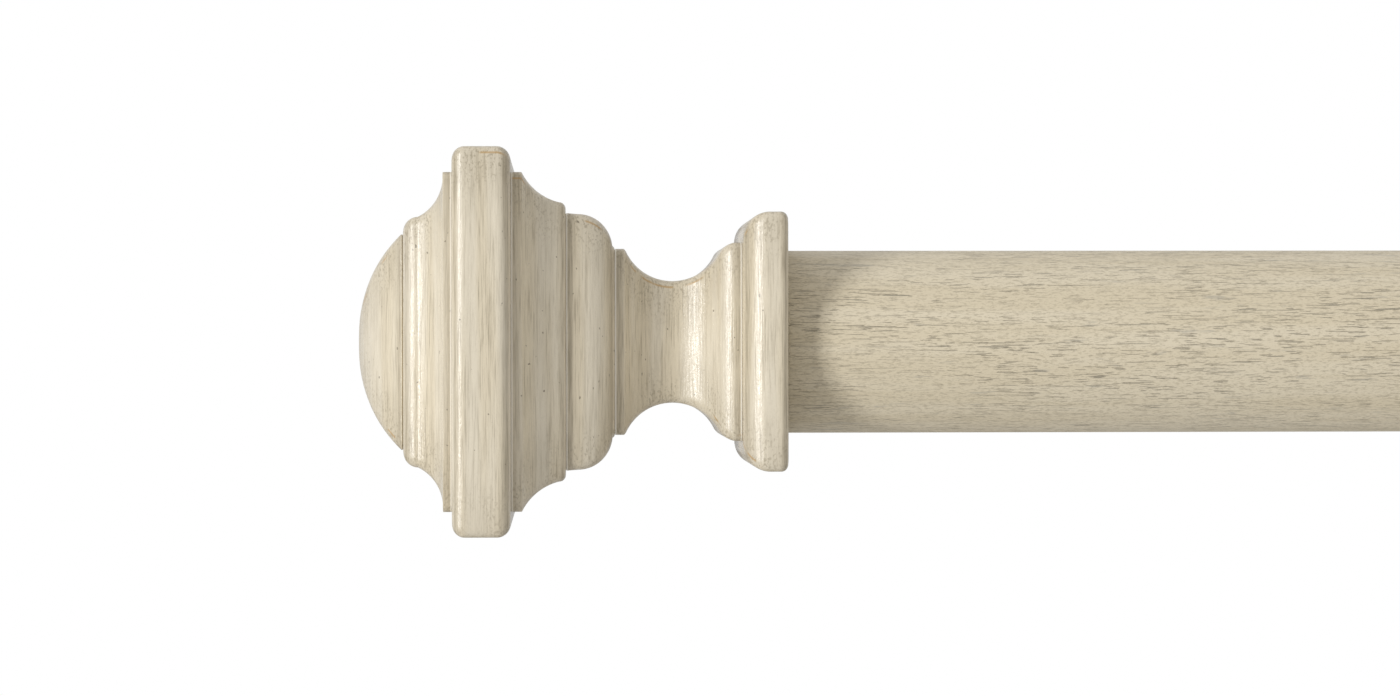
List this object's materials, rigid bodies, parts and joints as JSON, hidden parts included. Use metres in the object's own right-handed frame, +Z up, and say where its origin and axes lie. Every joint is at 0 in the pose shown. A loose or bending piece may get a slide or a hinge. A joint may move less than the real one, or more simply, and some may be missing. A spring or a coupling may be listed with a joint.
{
  "type": "curtain rod with brackets",
  "caption": "Round wooden curtain pole with square stepped finials that unscrew, resting in open wooden cradles on wall brackets with thumb screws.",
  "frame": {"origin": "on the rod's axis, half way along the rod", "axes": "+X along the rod to the right end as a viewer in the room sees it, +Y towards the wall, +Z up"},
  "size_m": [1.4554, 0.141, 0.1071],
  "materials": {
    "cream_wood": "cream paint with a thin grey-brown glaze, satin",
    "bare_wood": "bare beech",
    "zinc_steel": "bright zinc plate",
    "brass": "satin brass"
  },
  "bodies": {
    "brackets": {"back_plate_left": "cream_wood", "stepped_block_left": "cream_wood", "arm_left": "cream_wood", "cradle_left": "cream_wood", "key_plate_left": "zinc_steel", "key_plate_screws_left": "zinc_steel", "arm_screw_left": "zinc_steel", "cradle_screw_left": "zinc_steel", "thumb_insert_left": "brass", "back_plate_right": "cream_wood", "stepped_block_right": "cream_wood", "arm_right": "cream_wood", "cradle_right": "cream_wood", "key_plate_right": "zinc_steel", "key_plate_screws_right": "zinc_steel", "arm_screw_right": "zinc_steel", "cradle_screw_right": "zinc_steel", "thumb_insert_right": "brass"},
    "pole": {"rod": "cream_wood", "rod_insert_left": "brass", "rod_insert_right": "brass"},
    "finial_bolt_left": {"hanger_bolt_left": "zinc_steel"},
    "finial_left": {"base_flange_left": "cream_wood", "neck_left": "cream_wood", "thumb_moulding_left": "cream_wood", "rear_cove_left": "cream_wood", "centre_band_left": "cream_wood", "front_cove_left": "cream_wood", "dome_cap_left": "cream_wood", "core_dowel_left": "bare_wood"},
    "thumb_screw_left": {"thumb_shank_left": "brass"},
    "knob_left": {"thumb_knob_left": "brass"},
    "finial_bolt_right": {"hanger_bolt_right": "zinc_steel"},
    "finial_right": {"base_flange_right": "cream_wood", "neck_right": "cream_wood", "thumb_moulding_right": "cream_wood", "rear_cove_right": "cream_wood", "centre_band_right": "cream_wood", "front_cove_right": "cream_wood", "dome_cap_right": "cream_wood", "core_dowel_right": "bare_wood"},
    "thumb_screw_right": {"thumb_shank_right": "brass"},
    "knob_right": {"thumb_knob_right": "brass"}
  },
  "joints": [
    {"name": "rod_lift", "type": "slide", "parent": "brackets", "child": "pole", "axis": [0, 0, 1], "range_m": [0, 0.06]},
    {"name": "finial_left_out", "type": "slide", "parent": "pole", "child": "finial_bolt_left", "axis": [-1, 0, 0], "range_m": [0, 0.01976]},
    {"name": "finial_left_turn", "type": "hinge", "parent": "finial_bolt_left", "child": "finial_left", "pos_m": [-0.6099, 0, 0], "axis": [-1, 0, 0], "range_deg": [0, 5040]},
    {"name": "thumb_screw_left_out", "type": "slide", "parent": "brackets", "child": "thumb_screw_left", "axis": [0, 0, -1], "range_m": [0, 0.00508]},
    {"name": "thumb_screw_left_turn", "type": "hinge", "parent": "thumb_screw_left", "child": "knob_left", "pos_m": [-0.3696, 0, -0.0432], "axis": [0, 0, -1], "range_deg": [0, 1440]},
    {"name": "finial_right_out", "type": "slide", "parent": "pole", "child": "finial_bolt_right", "axis": [1, 0, 0], "range_m": [0, 0.01976]},
    {"name": "finial_right_turn", "type": "hinge", "parent": "finial_bolt_right", "child": "finial_right", "pos_m": [0.6099, 0, 0], "axis": [1, 0, 0], "range_deg": [0, 5040]},
    {"name": "thumb_screw_right_out", "type": "slide", "parent": "brackets", "child": "thumb_screw_right", "axis": [0, 0, -1], "range_m": [0, 0.00508]},
    {"name": "thumb_screw_right_turn", "type": "hinge", "parent": "thumb_screw_right", "child": "knob_right", "pos_m": [0.3696, 0, -0.0432], "axis": [0, 0, -1], "range_deg": [0, 1440]}
  ],
  "couplings": [
    {"joint": "finial_left_out", "follows": "finial_left_turn", "m_per_rad": 0.00022458},
    {"joint": "thumb_screw_left_out", "follows": "thumb_screw_left_turn", "m_per_rad": 0.00020213},
    {"joint": "finial_right_out", "follows": "finial_right_turn", "m_per_rad": 0.00022458},
    {"joint": "thumb_screw_right_out", "follows": "thumb_screw_right_turn", "m_per_rad": 0.00020213}
  ]
}
